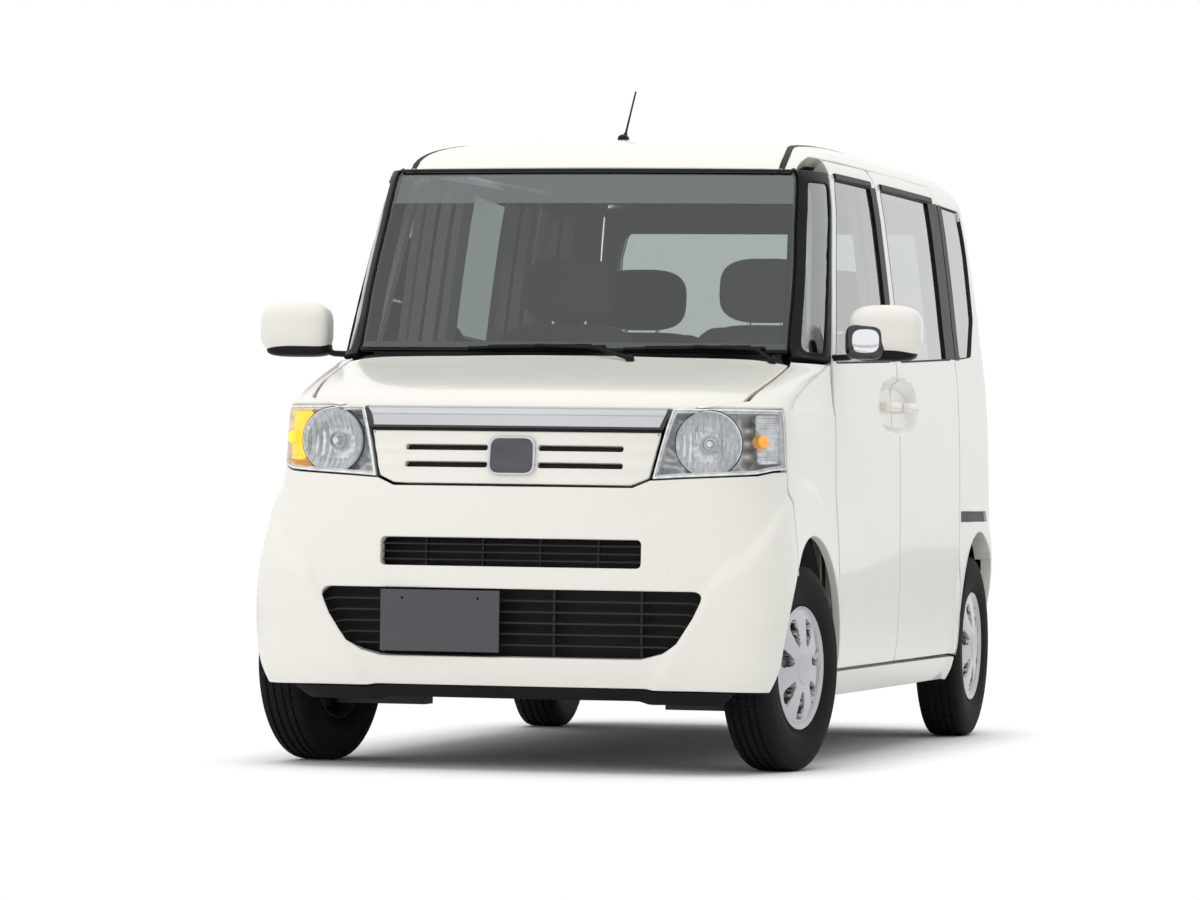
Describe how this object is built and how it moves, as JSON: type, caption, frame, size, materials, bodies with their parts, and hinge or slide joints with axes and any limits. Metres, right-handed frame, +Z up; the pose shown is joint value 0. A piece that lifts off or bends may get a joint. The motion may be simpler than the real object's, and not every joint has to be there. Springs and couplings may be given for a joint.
{
  "type": "tall kei car",
  "caption": "Tall two-box kei car with sloping hood, hinged front doors, sliding rear doors, lifting tailgate, glazed cabin and steered front wheels.",
  "frame": {"origin": "on the ground under the middle of the overall length and width", "axes": "+X forward, +Y to the left side of the car, +Z up"},
  "size_m": [3.395, 1.9128, 1.9236],
  "materials": {
    "paint": "gloss",
    "dark_steel": "satin",
    "black_plastic": "matte",
    "cabin_plastic": "matte",
    "seat_fabric": "matte",
    "chrome": "polished",
    "lamp_lens": "gloss",
    "tail_lens": "gloss",
    "clear_glass": "polished",
    "privacy_glass": "polished",
    "cast_metal": "matte",
    "chassis_steel": "satin",
    "plate_blank": "satin",
    "tyre": "matte",
    "wheel_silver": "satin"
  },
  "bodies": {
    "body": {"floor_pan": "dark_steel", "body_sides": "paint", "roof_panel": "paint", "front_bulkhead": "dark_steel", "inner_wings": "dark_steel", "front_fenders": "paint", "front_bumper": "paint", "radiator_grille": "paint", "chrome_bar": "chrome", "headlamps": "lamp_lens", "intake_grille": "black_plastic", "front_skirt": "black_plastic", "front_plate": "plate_blank", "windshield": "clear_glass", "sliding_doors": "paint", "sliding_door_glass": "privacy_glass", "side_glass": "clear_glass", "door_handles": "paint", "rear_bumper": "paint", "tail_lamps": "tail_lens", "dashboard": "cabin_plastic", "front_seats": "seat_fabric", "rear_seat": "seat_fabric", "engine": "cast_metal", "drive_shafts": "chassis_steel", "fuel_tank": "black_plastic", "exhaust": "chassis_steel", "front_subframe": "chassis_steel", "rear_axle": "chassis_steel", "wipers": "black_plastic", "antenna": "black_plastic"},
    "front_door_left": {"front_door_left": "paint", "front_door_glass_left": "clear_glass", "mirror_left": "paint", "front_handle_left": "paint"},
    "front_door_right": {"front_door_right": "paint", "front_door_glass_right": "clear_glass", "mirror_right": "paint", "front_handle_right": "paint"},
    "hood": {"hood": "paint"},
    "tailgate": {"tailgate": "paint", "tailgate_glass": "privacy_glass"},
    "steering_wheel": {"steering_wheel": "cabin_plastic"},
    "knuckle_left": {"knuckle_left": "chassis_steel"},
    "wheel_front_left": {"tyre_front_left": "tyre", "wheel_front_left": "wheel_silver"},
    "wheel_rear_left": {"tyre_rear_left": "tyre", "wheel_rear_left": "wheel_silver"},
    "knuckle_right": {"knuckle_right": "chassis_steel"},
    "wheel_front_right": {"tyre_front_right": "tyre", "wheel_front_right": "wheel_silver"},
    "wheel_rear_right": {"tyre_rear_right": "tyre", "wheel_rear_right": "wheel_silver"}
  },
  "joints": [
    {"name": "front_door_left_hinge", "type": "hinge", "parent": "body", "child": "front_door_left", "pos_m": [0.882, 0.738, 0.7], "axis": [0, 0, -1], "range_deg": [0, 70]},
    {"name": "front_door_right_hinge", "type": "hinge", "parent": "body", "child": "front_door_right", "pos_m": [0.882, -0.738, 0.7], "axis": [0, 0, 1], "range_deg": [0, 70]},
    {"name": "hood_hinge", "type": "hinge", "parent": "body", "child": "hood", "pos_m": [1.11, 0, 1.14], "axis": [0, -1, 0], "range_deg": [0, 45]},
    {"name": "tailgate_hinge", "type": "hinge", "parent": "body", "child": "tailgate", "pos_m": [-1.578, 0, 1.7], "axis": [0, 1, 0], "range_deg": [0, 85]},
    {"name": "steer_left", "type": "hinge", "parent": "body", "child": "knuckle_left", "pos_m": [1.2475, 0.59, 0.281], "axis": [0, 0, 1], "range_deg": [-23.5, 42.5]},
    {"name": "steer_right", "type": "hinge", "parent": "body", "child": "knuckle_right", "pos_m": [1.2475, -0.59, 0.281], "axis": [0, 0, 1], "range_deg": [-23.5, 42.5]},
    {"name": "steering_wheel_turn", "type": "hinge", "parent": "body", "child": "steering_wheel", "pos_m": [0.56, -0.3, 0.975], "axis": [0.8829, 0, -0.4695], "range_deg": [-680, 376]},
    {"name": "wheel_front_left_spin", "type": "hinge", "parent": "knuckle_left", "child": "wheel_front_left", "pos_m": [1.25781, 0.65164, 0.281], "axis": [0.165, 0.9863, 0], "continuous": true},
    {"name": "wheel_rear_left_spin", "type": "hinge", "parent": "body", "child": "wheel_rear_left", "pos_m": [-1.2725, 0.6525, 0.281], "axis": [0, 1, 0], "continuous": true},
    {"name": "wheel_front_right_spin", "type": "hinge", "parent": "knuckle_right", "child": "wheel_front_right", "pos_m": [1.23718, -0.65164, 0.281], "axis": [0.165, 0.9863, 0], "continuous": true},
    {"name": "wheel_rear_right_spin", "type": "hinge", "parent": "body", "child": "wheel_rear_right", "pos_m": [-1.2725, -0.6525, 0.281], "axis": [0, 1, 0], "continuous": true}
  ],
  "couplings": [
    {"joint": "steer_right", "follows": "steer_left", "ratio": 1},
    {"joint": "steering_wheel_turn", "follows": "steer_left", "ratio": -16}
  ]
}
